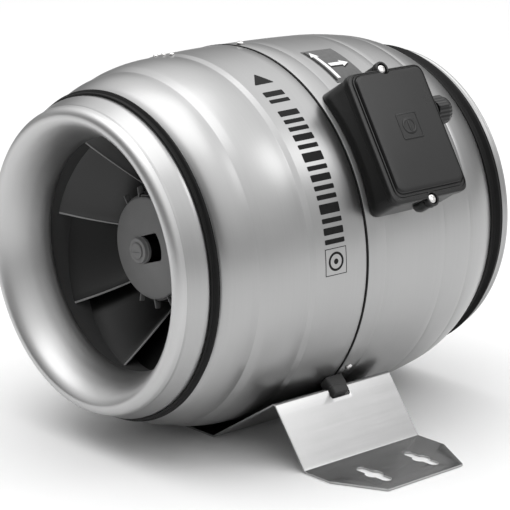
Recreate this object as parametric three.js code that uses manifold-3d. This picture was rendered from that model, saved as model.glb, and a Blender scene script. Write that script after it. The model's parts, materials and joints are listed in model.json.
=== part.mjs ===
// Mixed-flow inline duct fan for 12 inch round duct, in millimetres, +Z up.
// The duct axis runs along Y, with the air entering at -Y and leaving at +Y.
// The origin is on the floor under the joint between the two casing halves.
import * as THREE from 'three';
import { mergeVertices } from 'three/addons/utils/BufferGeometryUtils.js';
import Module from 'manifold-3d';

const wasm = await Module();
wasm.setup();

// Driving dimensions
const gap = 0.3; // clearance between pieces that meet
const sheet = 2; // thickness of pressed sheet metal
const axisHeight = 179.5; // duct axis above the floor
const bodyRadius = 177; // largest outer radius of the casing, at its joint
const spigotRadius = 149.4; // outer radius of both duct spigots
const throatRadius = 111.3; // inlet nozzle's outer side at its narrowest
const hubRadius = 48.4; // flat disc on the front of the impeller hub
const bladeCount = 8;
const guideVaneCount = 6;
const roundSteps = 32; // facets around the duct axis
const smallSteps = 12; // facets around a small round piece

// Support bracket
const footReach = 262; // outer edge of a foot from the middle
const footBend = 180; // bend between foot and leg
const foldX = 139;
const foldZ = axisHeight - 124.6; // top fold where leg and cradle meet
const bracketFront = -80;
const bracketRear = 65;
const chamferX = 48;
const chamferY = 25;

// Terminal box, on the outlet half, facing out and up
const boxTilt = THREE.MathUtils.degToRad(31.5);
const boxFront = 6;
const boxRear = 102;
const boxTop = 206.9; // cover face from the duct axis
const boxShift = 6.6; // middle of the box up from its radial line
const boxHalf = 63.6; // half its length around the casing
const coverUnder = 198.7;

const metal = new THREE.MeshStandardMaterial({ color: 0xc4c5c6, roughness: 0.38, metalness: 0.9 });
const lipMetal = new THREE.MeshStandardMaterial({ color: 0xcdcecf, roughness: 0.33, metalness: 0.9 });
const bracketMetal = new THREE.MeshStandardMaterial({ color: 0xd2d3d4, roughness: 0.35, metalness: 0.9 });
const rubber = new THREE.MeshStandardMaterial({ color: 0x161617, roughness: 0.7, metalness: 0 });
const boxPlastic = new THREE.MeshStandardMaterial({ color: 0x303133, roughness: 0.45, metalness: 0 });
const fanPlastic = new THREE.MeshStandardMaterial({ color: 0x3c3d3f, roughness: 0.5, metalness: 0 });
const hubPlastic = new THREE.MeshStandardMaterial({ color: 0x6a6b6c, roughness: 0.5, metalness: 0 });
const screwSteel = new THREE.MeshStandardMaterial({ color: 0xd8d8d6, roughness: 0.25, metalness: 1 });
const motorSteel = new THREE.MeshStandardMaterial({ color: 0x808284, roughness: 0.45, metalness: 0.9 });
const copper = new THREE.MeshStandardMaterial({ color: 0xb06a34, roughness: 0.4, metalness: 0.8 });
const whitePlastic = new THREE.MeshStandardMaterial({ color: 0xdedfdc, roughness: 0.5, metalness: 0 });

const fan = new THREE.Group();
const ducted = new THREE.Group(); // pieces placed around the duct axis
ducted.position.z = axisHeight;
fan.add(ducted);
const terminal = new THREE.Group(); // X out of the casing, Y along the duct, Z around it
terminal.rotation.y = -boxTilt;
ducted.add(terminal);

function place(parent, name, geometry, material) {
  const mesh = new THREE.Mesh(geometry, material);
  mesh.name = name;
  parent.add(mesh);
  return mesh;
}

// Geometry helpers

// A closed ring or turned solid about Y, from [along, radius] stations.
function turned(stations, steps = roundSteps) {
  const points = stations.map(([along, radius]) => new THREE.Vector2(radius, along));
  if (THREE.ShapeUtils.area(points) < 0) points.reverse();
  points.push(points[0].clone());
  return new THREE.LatheGeometry(points, steps);
}

// A line's copy on the inner side of a sheet that follows it.
function innerSide(line, thickness = sheet) {
  return line.map((station, i) => {
    const before = line[Math.max(i - 1, 0)];
    const after = line[Math.min(i + 1, line.length - 1)];
    const run = Math.hypot(after[0] - before[0], after[1] - before[1]);
    const along = station[0] + (thickness * (after[1] - before[1])) / run;
    const radius = station[1] - (thickness * (after[0] - before[0])) / run;
    return [along, radius];
  });
}

// The stations of a sheet that follows a line, with its thickness on the inner side.
function sheetStations(line, thickness = sheet) {
  return [...line, ...innerSide(line, thickness).reverse()];
}

function extruded(shape, depth, curveSegments = 3) {
  return new THREE.ExtrudeGeometry(shape, { depth, bevelEnabled: false, curveSegments });
}

// An outline in the X-Z plane, extruded along Y.
function alongY(shape, from, to) {
  const geometry = extruded(shape, to - from);
  const basis = new THREE.Matrix4().makeBasis(
    new THREE.Vector3(1, 0, 0),
    new THREE.Vector3(0, 0, 1),
    new THREE.Vector3(0, -1, 0)
  );
  return geometry.applyMatrix4(basis).translate(0, to, 0);
}

// An outline in the Y-Z plane, extruded along X.
function alongX(shape, from, to) {
  const geometry = extruded(shape, to - from);
  const basis = new THREE.Matrix4().makeBasis(
    new THREE.Vector3(0, 1, 0),
    new THREE.Vector3(0, 0, 1),
    new THREE.Vector3(1, 0, 0)
  );
  return geometry.applyMatrix4(basis).translate(from, 0, 0);
}

function block(x0, x1, y0, y1, z0, z1) {
  const geometry = new THREE.BoxGeometry(x1 - x0, y1 - y0, z1 - z0);
  return geometry.translate((x0 + x1) / 2, (y0 + y1) / 2, (z0 + z1) / 2);
}

function solid(geometry) {
  const bare = geometry.clone();
  bare.deleteAttribute('normal');
  bare.deleteAttribute('uv');
  const merged = mergeVertices(bare, 1e-3);
  return new wasm.Manifold(
    new wasm.Mesh({
      numProp: 3,
      vertProperties: merged.attributes.position.array,
      triVerts: new Uint32Array(merged.index.array)
    })
  );
}

function geometryOf(made) {
  const mesh = made.getMesh();
  const geometry = new THREE.BufferGeometry();
  geometry.setAttribute('position', new THREE.BufferAttribute(new Float32Array(mesh.vertProperties), 3));
  geometry.setIndex(new THREE.BufferAttribute(new Uint32Array(mesh.triVerts), 1));
  return geometry;
}

function cut(geometry, ...tools) {
  return geometryOf(tools.reduce((left, tool) => left.subtract(solid(tool)), solid(geometry)));
}

function join(geometry, ...others) {
  return geometryOf(others.reduce((sum, other) => sum.add(solid(other)), solid(geometry)));
}

// A rectangle with round corners, in the Y-Z plane of the terminal box.
function roundedRectangle(y0, y1, z0, z1, corner) {
  const shape = new THREE.Shape();
  shape.moveTo(y0 + corner, z0);
  shape.lineTo(y1 - corner, z0);
  shape.absarc(y1 - corner, z0 + corner, corner, -Math.PI / 2, 0);
  shape.lineTo(y1, z1 - corner);
  shape.absarc(y1 - corner, z1 - corner, corner, 0, Math.PI / 2);
  shape.lineTo(y0 + corner, z1);
  shape.absarc(y0 + corner, z1 - corner, corner, Math.PI / 2, Math.PI);
  shape.lineTo(y0, z0 + corner);
  shape.absarc(y0 + corner, z0 + corner, corner, Math.PI, Math.PI * 1.5);
  return shape;
}

// A pan-head screw standing on Y = 0 with its shank below.
function screwGeometry(headRadius, headHeight, shankRadius, shankLength) {
  const stations = [
    [-shankLength, 0],
    [-shankLength, shankRadius],
    [0, shankRadius],
    [0, headRadius],
    [headHeight, headRadius * 0.7],
    [headHeight, 0]
  ];
  return new THREE.LatheGeometry(
    stations.map(([along, radius]) => new THREE.Vector2(radius, along)),
    8
  );
}

function pointAlong(mesh, direction) {
  mesh.quaternion.setFromUnitVectors(new THREE.Vector3(0, 1, 0), direction.clone().normalize());
  return mesh;
}

// The direction out of the duct axis at an angle from +X towards +Z.
function outward(degrees) {
  const angle = THREE.MathUtils.degToRad(degrees);
  return new THREE.Vector3(Math.cos(angle), 0, Math.sin(angle));
}

// Inlet nozzle: the rolled lip and the throat that leads into the impeller
const lipWall = 1.6;
const lipLine = [
  [-182.9, throatRadius + 31.4],
  [-190.5, throatRadius + 26.8],
  [-190.4, throatRadius + 20],
  [-183, throatRadius + 14],
  [-173.5, throatRadius + 8.2],
  [-157, throatRadius + 1.6],
  [-144, throatRadius]
];
place(ducted, 'inlet_nozzle', turned(sheetStations(lipLine, lipWall)), lipMetal);

// Casing halves
const inletLine = [
  [-182, spigotRadius - 6.4],
  [-166, spigotRadius],
  [-152.5, spigotRadius],
  [-149, spigotRadius + 4],
  [-117.8, 166],
  [-92, 171.4],
  [-63.4, 174.8],
  [-1.2, bodyRadius]
];
place(ducted, 'inlet_casing', turned(sheetStations(inletLine)), metal);

const outletLine = [
  [1.2, bodyRadius],
  [68, 176.3],
  [108, 175],
  [143, 171],
  [170, 163.6],
  [184, 156],
  [188.5, spigotRadius + 1],
  [216, spigotRadius]
];
const leadHoleAlong = 60;
const leadHoleRadius = 7;
const leadHole = new THREE.CylinderGeometry(leadHoleRadius, leadHoleRadius, 30, smallSteps)
  .rotateZ(-Math.PI / 2)
  .translate(bodyRadius, leadHoleAlong, 0)
  .rotateY(-boxTilt);
place(ducted, 'outlet_casing', cut(turned(sheetStations(outletLine)), leadHole), metal);

// The black ring that closes the joint between the halves
const gasketStations = [
  [-0.9, bodyRadius - 6],
  [-0.9, bodyRadius + 0.4],
  [0.9, bodyRadius + 0.4],
  [0.9, bodyRadius - 6]
];
place(ducted, 'casing_gasket', turned(gasketStations), rubber);

// Rubber lip seals: a band on the spigot with one raised lip
function lipSeal(front, rear, seat, lipRise) {
  const middle = (front + rear) / 2;
  return turned([
    [front, seat],
    [front, seat + 2],
    [middle + 1.5, seat + lipRise],
    [rear, seat + 2.4],
    [rear, seat]
  ]);
}
const sealSeat = spigotRadius + gap;
place(ducted, 'inlet_seal', lipSeal(-163, -153.2, sealSeat, 4.6), rubber);
place(ducted, 'outlet_seal', lipSeal(190.4, 206.4, spigotRadius + 1.5, 4.4), rubber);

// Small screws and rivets on the casing
const jointScrew = place(ducted, 'joint_screw_top', screwGeometry(3.8, 2.8, 1.6, 1), screwSteel);
pointAlong(jointScrew, outward(92));
jointScrew.position.copy(outward(92).multiplyScalar(bodyRadius + 0.4 + 1)).setY(7);
[97, 101, 105].forEach((angle, i) => {
  const rivet = place(ducted, `casing_rivet_${i + 1}`, screwGeometry(2.6, 1.8, 1.4, 1), screwSteel);
  pointAlong(rivet, outward(angle));
  rivet.position.copy(outward(angle).multiplyScalar(174.8 + 1.4)).setY(-64);
});

// Moulded lugs on the joint that locate the casing in the bracket
const lugAngle = -41.6;
const lugFront = -13;
const lugRear = 7.5;
const lugTop = 195;
const lugHalf = 9;
const lugRise = 4.5; // upper side of a lug from its middle
const lugSeat = bodyRadius + 0.4 + gap;
const notchRoom = 1.5; // clearance around a lug in the bracket's notch
const lugSeatTool = turned([[-40, 0], [-40, lugSeat], [40, lugSeat], [40, 0]], roundSteps);
for (const [side, angle] of [['right', lugAngle], ['left', 180 - lugAngle]]) {
  const [under, over] = side === 'right' ? [-lugHalf, lugRise] : [-lugRise, lugHalf];
  const turnedLug = block(bodyRadius - 12, lugTop, lugFront, lugRear, under, over);
  turnedLug.rotateY(-THREE.MathUtils.degToRad(angle));
  place(ducted, `mount_lug_${side}`, cut(turnedLug, lugSeatTool), boxPlastic);
  const screwAngle = angle + (side === 'right' ? 4.4 : -4.4);
  const screw = place(ducted, `lug_screw_${side}`, screwGeometry(3.4, 2.4, 1.6, 1), screwSteel);
  pointAlong(screw, outward(screwAngle));
  screw.position.copy(outward(screwAngle).multiplyScalar(bodyRadius + 1.4)).setY(10.6);
}

// Support bracket: one sheet bent into foot, leg, cradle, floor, cradle, leg and foot
function ribbon(line, width) {
  const points = line.map(([x, z]) => new THREE.Vector2(x, z));
  const sides = [1, -1].map((side) =>
    points.map((point, i) => {
      const before = points[Math.max(i - 1, 0)];
      const after = points[Math.min(i + 1, points.length - 1)];
      const into = i > 0 ? point.clone().sub(before).normalize() : after.clone().sub(point).normalize();
      const out = i < points.length - 1 ? after.clone().sub(point).normalize() : into.clone();
      const mitre = into.clone().add(out).normalize();
      const normal = new THREE.Vector2(-mitre.y, mitre.x);
      const reach = width / 2 / normal.dot(new THREE.Vector2(-into.y, into.x));
      return point.clone().addScaledVector(normal, side * reach);
    })
  );
  return new THREE.Shape([...sides[0], ...sides[1].reverse()]);
}
const cradleFoot = 52.9; // where the cradle plate meets the floor plate
const halfSection = [
  [cradleFoot, sheet / 2],
  [foldX, foldZ],
  [footBend, sheet / 2],
  [footReach, sheet / 2]
];
const section = [...halfSection.map(([x, z]) => [-x, z]).reverse(), ...halfSection];
const slotMiddle = footBend + 46;
const slotHalf = 16; // from a slot's middle to the centre of its round end
const slotNarrow = 5;
const slotWide = 8.5; // radius of its round middle
const slotPlaces = [-37.5, 22.5];
const slotTools = [];
const cornerTools = [];
const notchTools = [];
for (const side of [1, -1]) {
  for (const along of slotPlaces) {
    const narrow = new THREE.Shape();
    narrow.moveTo(-slotHalf, -slotNarrow);
    narrow.lineTo(slotHalf, -slotNarrow);
    narrow.absarc(slotHalf, 0, slotNarrow, -Math.PI / 2, Math.PI / 2);
    narrow.lineTo(-slotHalf, slotNarrow);
    narrow.absarc(-slotHalf, 0, slotNarrow, Math.PI / 2, Math.PI * 1.5);
    slotTools.push(extruded(narrow, 10, 5).translate(side * slotMiddle, along, -4));
    const round = new THREE.CylinderGeometry(slotWide, slotWide, 10, smallSteps).rotateX(Math.PI / 2);
    slotTools.push(round.translate(side * slotMiddle, along, 1));
  }
  for (const end of [bracketFront, bracketRear]) {
    const inward = end === bracketFront ? 1 : -1;
    const corner = new THREE.Shape([
      new THREE.Vector2(side * (footReach - chamferX), end),
      new THREE.Vector2(side * (footReach + chamferX), end - inward * chamferY),
      new THREE.Vector2(side * (footReach + chamferX), end + inward * 2 * chamferY)
    ]);
    cornerTools.push(extruded(corner, 20).translate(0, 0, -10));
  }
  const notchHalf = lugHalf + notchRoom;
  const notch = block(
    lugSeat - notchRoom, lugTop + notchRoom, lugFront - notchRoom, lugRear + notchRoom, -notchHalf, notchHalf
  );
  notch.rotateY(-THREE.MathUtils.degToRad(side > 0 ? lugAngle : 180 - lugAngle));
  notchTools.push(notch.translate(0, 0, axisHeight));
}
const bentSheet = alongY(ribbon(section, sheet), bracketFront, bracketRear);
place(fan, 'support_bracket', cut(bentSheet, ...slotTools, ...cornerTools, ...notchTools), bracketMetal);

// Terminal box
const boxLow = boxShift - boxHalf;
const boxHigh = boxShift + boxHalf;
const boxMiddle = (boxFront + boxRear) / 2;
const boxWall = 2.5;
const baseUnder = 169;
const baseOver = coverUnder - 1.2;
const coverOutline = roundedRectangle(boxFront, boxRear, boxLow, boxHigh, 11);
const baseOutline = roundedRectangle(boxFront + 1.2, boxRear - 1.2, boxLow + 1.2, boxHigh - 1.2, 10);
const baseHollow = roundedRectangle(
  boxFront + 1.2 + boxWall, boxRear - 1.2 - boxWall, boxLow + 1.2 + boxWall, boxHigh - 1.2 - boxWall, 8
);
const casingTool = turned([[-60, 0], [-60, bodyRadius + 0.7], [160, bodyRadius + 0.7], [160, 0]], 48);
const baseFloor = turned([[-60, 0], [-60, bodyRadius + 3.2], [160, bodyRadius + 3.2], [160, 0]], 48);
const glandOut = 188.9; // gland axis from the duct axis
const glandZ = 26;
const glandHole = new THREE.CylinderGeometry(7.8, 7.8, 20, smallSteps)
  .translate(glandOut, boxRear - 2, glandZ);
const basePlain = cut(alongX(baseOutline, baseUnder, baseOver), casingTool);
const baseRoom = cut(alongX(baseHollow, baseUnder - 10, baseOver + 10), baseFloor);
const leadWay = new THREE.CylinderGeometry(leadHoleRadius, leadHoleRadius, 40, smallSteps)
  .rotateZ(-Math.PI / 2)
  .translate(bodyRadius, leadHoleAlong, 0);
const boxScrewZ = [-38, 44];
const boxScrewWays = boxScrewZ.map((z) =>
  new THREE.CylinderGeometry(2.3, 2.3, 40, 12).rotateZ(-Math.PI / 2).translate(bodyRadius, boxMiddle + 24, z)
);
const lugEnds = [
  ['upper', boxHigh + 0.5],
  ['lower', boxLow - 0.5]
];
const screwLug = (from, to, radius, z) =>
  new THREE.CylinderGeometry(radius, radius, to - from, smallSteps)
    .rotateZ(-Math.PI / 2)
    .translate((from + to) / 2, boxMiddle, z);
const baseLugs = lugEnds.map(([, z]) => screwLug(boxTop - 26, baseOver, 6.4, z));
const baseBores = lugEnds.map(([, z]) => screwLug(boxTop - 24, baseOver + 1, 2.6, z));
const baseWithLugs = join(basePlain, ...baseLugs);
place(
  terminal,
  'terminal_box_base',
  cut(baseWithLugs, baseRoom, glandHole, leadWay, ...boxScrewWays, ...baseBores),
  boxPlastic
);

const gasketInner = roundedRectangle(boxFront + 4.5, boxRear - 4.5, boxLow + 4.5, boxHigh - 4.5, 7);
const gasketOuter = roundedRectangle(boxFront + 2, boxRear - 2, boxLow + 2, boxHigh - 2, 9);
gasketOuter.holes.push(gasketInner);
place(terminal, 'cover_gasket', alongX(gasketOuter, baseOver + gap, coverUnder - gap), rubber);

// Cover: a shallow tray with a raised middle panel and two round screw lugs
const panelOutline = roundedRectangle(boxFront + 9, boxRear - 3, boxLow + 9, boxHigh - 3, 9);
const coverRoom = roundedRectangle(boxFront + 5, boxRear - 5, boxLow + 5, boxHigh - 5, 8);
const coverPlate = alongX(coverOutline, coverUnder, boxTop - 1.8);
const coverPanel = alongX(panelOutline, boxTop - 4, boxTop);
const coverLugs = lugEnds.map(([, z]) => screwLug(coverUnder, boxTop - 2.6, 7.4, z));
const coverBores = lugEnds.map(([, z]) => screwLug(coverUnder - 1, boxTop + 1, 2.6, z));
const coverSinks = lugEnds.map(([, z]) => screwLug(boxTop - 4, boxTop + 1, 5.4, z));
place(
  terminal,
  'terminal_box_cover',
  cut(
    join(coverPlate, coverPanel, ...coverLugs),
    alongX(coverRoom, coverUnder - 1, boxTop - 4.6),
    ...coverBores,
    ...coverSinks
  ),
  boxPlastic
);
for (const [end, z] of lugEnds) {
  const screw = place(terminal, `cover_screw_${end}`, screwGeometry(4.6, 2.6, 2.2, 20), screwSteel);
  pointAlong(screw, new THREE.Vector3(1, 0, 0));
  screw.position.set(boxTop - 4 + gap, boxMiddle, z);
}

// Cable gland in the rear wall of the box
const glandStart = boxRear - 1.2 - boxWall - 3.5;
const glandBody = [
  [glandStart, 4.6],
  [glandStart, 7.5],
  [boxRear - 0.8, 7.5],
  [boxRear - 0.8, 9.4],
  [boxRear + 0.4, 9.4],
  [boxRear + 0.4, 13],
  [boxRear + 4.2, 13],
  [boxRear + 4.2, 9],
  [boxRear + 19, 9],
  [boxRear + 19, 4.6]
];
const glandNut = [
  [boxRear + 4.6, 9.3],
  [boxRear + 4.6, 15],
  [boxRear + 17, 15],
  [boxRear + 23, 11.4],
  [boxRear + 24.5, 7.4],
  [boxRear + 21.5, 7.4],
  [boxRear + 20.6, 9.3]
];
const glandSeal = [
  [boxRear + 2, 2.4],
  [boxRear + 2, 4.3],
  [boxRear + 22, 4.3],
  [boxRear + 22, 2.4]
];
for (const [name, stations, material] of [
  ['cable_gland_body', glandBody, boxPlastic],
  ['cable_gland_nut', glandNut, boxPlastic],
  ['cable_gland_seal', glandSeal, rubber]
]) {
  place(terminal, name, turned(stations, smallSteps), material).position.set(glandOut, 0, glandZ);
}

// Inside the box: terminal block, run capacitor, its two fixing screws and the lead grommet
const terminalBlock = block(182.4, 194, 68, 86, -26, 22);
const wireWays = [];
for (let z = -20; z <= 16; z += 9) {
  wireWays.push(new THREE.CylinderGeometry(2.2, 2.2, 30, 6).translate(187, 77, z));
}
place(terminal, 'terminal_block', cut(terminalBlock, ...wireWays), whitePlastic);
const capacitor = new THREE.CylinderGeometry(9, 9, 56, smallSteps).rotateX(Math.PI / 2);
place(terminal, 'run_capacitor', capacitor, whitePlastic).position.set(192, 32, -8);
boxScrewZ.forEach((z, i) => {
  const screw = place(terminal, `box_screw_${i + 1}`, screwGeometry(4, 2.6, 2, 3), screwSteel);
  pointAlong(screw, new THREE.Vector3(1, 0, 0));
  screw.position.set(Math.sqrt((bodyRadius + 3.2) ** 2 - z * z) + 2.2, boxMiddle + 24, z);
});
const grommetStations = [
  [bodyRadius - 6, 3.6],
  [bodyRadius - 6, leadHoleRadius - gap],
  [bodyRadius + 6, leadHoleRadius - gap],
  [bodyRadius + 6, 3.6]
];
const grommet = turned(grommetStations, smallSteps).rotateZ(-Math.PI / 2);
place(terminal, 'lead_grommet', grommet, rubber).position.y = leadHoleAlong;

// Impeller: hub, shroud and blades, turning together
const hubLine = [
  [-109.2, 50],
  [-92, 55],
  [-68, 65],
  [-40, 80],
  [-12, 97.5],
  [3, 105.5]
];
const shroudLine = [
  [-147, 116.8],
  [-131, 116.9],
  [-115, 118.4],
  [-80, 126],
  [-42, 141],
  [-14, 154.5]
];
const shroudWall = 1.8;
const hubStations = [...sheetStations(hubLine), [-106.8, 38], [-109.2, 38]];
place(ducted, 'impeller_hub', turned(hubStations), fanPlastic);
place(ducted, 'impeller_shroud', turned(sheetStations(shroudLine, shroudWall)), fanPlastic);

// The radius of a line of [along, radius] stations at a place along the duct.
function radiusOn(line, along) {
  const next = line.findIndex((station) => station[0] >= along);
  if (next < 1) return line.at(next)[1];
  const share = (along - line[next - 1][0]) / (line[next][0] - line[next - 1][0]);
  return THREE.MathUtils.lerp(line[next - 1][1], line[next][1], share);
}

// A thin curved wall between an inner and an outer line around the duct axis.
// Each edge has its [front, rear] places along the duct and its clearance to its line, and
// angleAt(share, rise) gives the angle in degrees at a share of the way from front to rear
// and from inner to outer.
function curvedWall({ inner, outer, angleAt, thickness, steps, rows }) {
  const innerRadius = (along) => radiusOn(inner.line, along) + inner.clearance;
  const outerRadius = (along) => radiusOn(outer.line, along) - outer.clearance;
  const pointAt = (share, rise) => {
    const innerAlong = THREE.MathUtils.lerp(...inner.ends, share);
    const outerAlong = THREE.MathUtils.lerp(...outer.ends, share);
    const radius = THREE.MathUtils.lerp(innerRadius(innerAlong), outerRadius(outerAlong), rise);
    const point = outward(angleAt(share, rise)).multiplyScalar(radius);
    return point.setY(THREE.MathUtils.lerp(innerAlong, outerAlong, rise));
  };
  const faceAt = (share, rise, side) => {
    const point = pointAt(share, rise);
    const nudge = 1e-3;
    const along = pointAt(share + nudge, rise).sub(point);
    const up = pointAt(share, rise + nudge).sub(point);
    const taper = 1 - 0.35 * Math.abs(2 * share - 1);
    point.addScaledVector(along.cross(up).normalize(), (side * taper * thickness) / 2);
    const radius = Math.hypot(point.x, point.z);
    let wanted = radius;
    if (rise === 0) wanted = innerRadius(point.y);
    if (rise === 1) wanted = outerRadius(point.y);
    point.x *= wanted / radius;
    point.z *= wanted / radius;
    return point;
  };
  const frontCrowding = 1.7; // steps are closer together near the front, where the wall bends
  const positions = [];
  const perSide = (steps + 1) * (rows + 1);
  for (const side of [1, -1]) {
    for (let row = 0; row <= rows; row += 1) {
      for (let step = 0; step <= steps; step += 1) {
        const share = (step / steps) ** frontCrowding;
        positions.push(...faceAt(share, row / rows, side).toArray());
      }
    }
  }
  const index = [];
  const quad = (a, b, c, d) => index.push(a, b, c, a, c, d);
  const at = (row, step) => row * (steps + 1) + step;
  for (let row = 0; row < rows; row += 1) {
    for (let step = 0; step < steps; step += 1) {
      const corners = [at(row, step), at(row, step + 1), at(row + 1, step + 1), at(row + 1, step)];
      quad(...corners);
      quad(...corners.map((corner) => corner + perSide).reverse());
    }
  }
  for (let step = 0; step < steps; step += 1) {
    quad(at(0, step + 1), at(0, step), at(0, step) + perSide, at(0, step + 1) + perSide);
    quad(at(rows, step), at(rows, step + 1), at(rows, step + 1) + perSide, at(rows, step) + perSide);
  }
  for (let row = 0; row < rows; row += 1) {
    quad(at(row, 0), at(row + 1, 0), at(row + 1, 0) + perSide, at(row, 0) + perSide);
    quad(at(row + 1, steps), at(row, steps), at(row, steps) + perSide, at(row + 1, steps) + perSide);
  }
  const geometry = new THREE.BufferGeometry();
  geometry.setAttribute('position', new THREE.Float32BufferAttribute(positions, 3));
  geometry.setIndex(index);
  return geometry;
}

const bladeWrap = 85; // degrees that a blade lags from its front to its rear edge
const shroudInner = innerSide(shroudLine, shroudWall);
for (let i = 0; i < bladeCount; i += 1) {
  const blade = curvedWall({
    inner: { line: hubLine, ends: [-77, -6], clearance: 0.9 },
    outer: { line: shroudInner, ends: [-130.3, -17], clearance: 1.1 },
    angleAt: (share, rise) =>
      221.5 - 4.7 * rise + (i * 360) / bladeCount - bladeWrap * (1 - (1 - share) ** 4),
    thickness: 2.4,
    steps: 14,
    rows: 3
  });
  place(ducted, `impeller_blade_${i + 1}`, blade, fanPlastic);
}

// Hub disc: a shallow cone with its boss and a window beside the boss
const discEdge = -112.2;
const bossFront = -125.5;
const discStations = [
  [bossFront, 6.3],
  [bossFront, 12],
  [-122, 12.5],
  [discEdge, hubRadius - 1],
  [discEdge + 1, hubRadius],
  [-109.6, hubRadius],
  [-119.4, 12.5],
  [-119.4, 10],
  [-98, 10],
  [-98, 6.3]
];
const windowShape = new THREE.Shape();
windowShape.absarc(0, 0, 26.5, -0.21, 0.82);
windowShape.absarc(0, 0, 13.4, 1.5, -1.2, true);
place(ducted, 'hub_disc', cut(turned(discStations), alongY(windowShape, -130, -100)), hubPlastic);
const hubScrewHead = turned(
  [
    [-127.4, 0],
    [-127.4, 7.2],
    [-126.6, 8],
    [-125.8, 8],
    [-125.8, 4.5],
    [-118.4, 4.5],
    [-118.4, 0]
  ],
  smallSteps
);
const hubScrewSlot = block(-9, 9, -128, -126.6, -1.3, 1.3);
place(ducted, 'hub_screw', cut(hubScrewHead, hubScrewSlot), motorSteel);

// Motor with the rotor outside: cup, cage and shaft turn, the rest is fixed
const motorPieces = [
  ['rotor_cup', [[-94, 6.3], [-94, 42], [-90, 45.5], [-6, 45.5], [-6, 41.5], [-88, 41.5], [-88, 6.3]]],
  ['rotor_cage', [[-68, 36.8], [-68, 41.2], [-20, 41.2], [-20, 36.8]], copper],
  ['motor_shaft', [[-118, 0], [-118, 6], [4, 6], [4, 0]]],
  ['stator_stack', [[-66, 17.8], [-66, 36], [-22, 36], [-22, 17.8]]],
  ['stator_winding_front', [[-74, 20], [-76, 24], [-76, 31], [-72, 34], [-66.3, 34], [-66.3, 20]], copper],
  ['stator_winding_rear', [[-21.7, 20], [-21.7, 34], [-14, 34], [-12, 31], [-12, 24], [-14, 20]], copper],
  ['bearing_front', [[-72, 6.3], [-72, 12.9], [-64, 12.9], [-64, 6.3]], screwSteel],
  ['bearing_rear', [[-12, 6.3], [-12, 12.9], [-4, 12.9], [-4, 6.3]], screwSteel]
];
for (const [name, stations, material = motorSteel] of motorPieces) {
  place(ducted, name, turned(stations, 16), material);
}

// Fixed flange that carries the bearing tube, screwed to the diffuser hub
const flangeScrewRadius = 92;
const flangeScrewWays = [];
for (let i = 0; i < 3; i += 1) {
  const way = new THREE.CylinderGeometry(2.3, 2.3, 60, 12).translate(flangeScrewRadius, 0, 0);
  flangeScrewWays.push(way.rotateY((i * Math.PI * 2) / 3 + 0.3));
}
const flangeStations = [
  [-76, 13.2],
  [-76, 17],
  [6, 17],
  [6, 30],
  [8, 34],
  [8, 101],
  [12, 101],
  [12, 13.2]
];
place(ducted, 'motor_flange', cut(turned(flangeStations), ...flangeScrewWays), motorSteel);
for (let i = 0; i < 3; i += 1) {
  const screw = place(ducted, `flange_screw_${i + 1}`, screwGeometry(4, 2.8, 2, 7.5), screwSteel);
  pointAlong(screw, new THREE.Vector3(0, -1, 0));
  const angle = (i * Math.PI * 2) / 3 + 0.3;
  screw.position.set(flangeScrewRadius * Math.cos(angle), 8 - gap, -flangeScrewRadius * Math.sin(angle));
}

// Diffuser: the fixed hub behind the impeller and its guide vanes
const diffuserLine = [
  [12.4, 111.5],
  [50, 110.5],
  [95, 101],
  [140, 82],
  [172, 60],
  [186.4, 42]
];
const diffuserStations = [
  [186.4, 0],
  ...[...diffuserLine].reverse(),
  [12.4, 84],
  [14.6, 84],
  ...innerSide(diffuserLine).slice(1, -1),
  [183.8, 40],
  [183.8, 0]
];
const leadWayInHub = new THREE.CylinderGeometry(5, 5, 60, 12)
  .rotateZ(-Math.PI / 2)
  .translate(110, leadHoleAlong, 0)
  .rotateY(-boxTilt);
place(
  ducted,
  'diffuser_hub',
  cut(turned(diffuserStations), leadWayInHub, ...flangeScrewWays),
  metal
);
const casingInner = innerSide(outletLine);
for (let i = 0; i < guideVaneCount; i += 1) {
  const vane = curvedWall({
    inner: { line: diffuserLine, ends: [16, 108], clearance: 1 },
    outer: { line: casingInner, ends: [16, 112], clearance: 1.2 },
    angleAt: (share) => 61 + (i * 360) / guideVaneCount - 18 * (1 - share) ** 2,
    thickness: sheet,
    steps: 8,
    rows: 3
  });
  place(ducted, `guide_vane_${i + 1}`, vane, metal);
}

// Motor lead: from the flange, out through the diffuser hub and into the terminal box
const leadRoute = new THREE.CatmullRomCurve3([
  new THREE.Vector3(26, 14, 0),
  new THREE.Vector3(30, 34, 0),
  new THREE.Vector3(44, 54, 0),
  new THREE.Vector3(70, leadHoleAlong, 0),
  new THREE.Vector3(110, leadHoleAlong, 0),
  new THREE.Vector3(150, leadHoleAlong, 0),
  new THREE.Vector3(186, leadHoleAlong, 0)
]);
const leadSection = new THREE.Shape();
leadSection.absarc(0, 0, 3, 0, Math.PI * 2);
const lead = new THREE.ExtrudeGeometry(leadSection, { steps: 16, extrudePath: leadRoute, curveSegments: 4 });
place(terminal, 'motor_lead', lead, rubber);

export default fan;
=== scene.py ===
"""Looks of the mixed-flow inline duct fan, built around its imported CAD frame.

The duct axis runs along Y, with the inlet at -Y. Shapes are written in millimetres, around the duct axis or
in the terminal box's own axes, and turned into metres when their mesh is made.
"""
import json
import math
from math import cos, radians, sin

import bmesh
import bpy
from mathutils import Matrix, Vector


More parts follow.
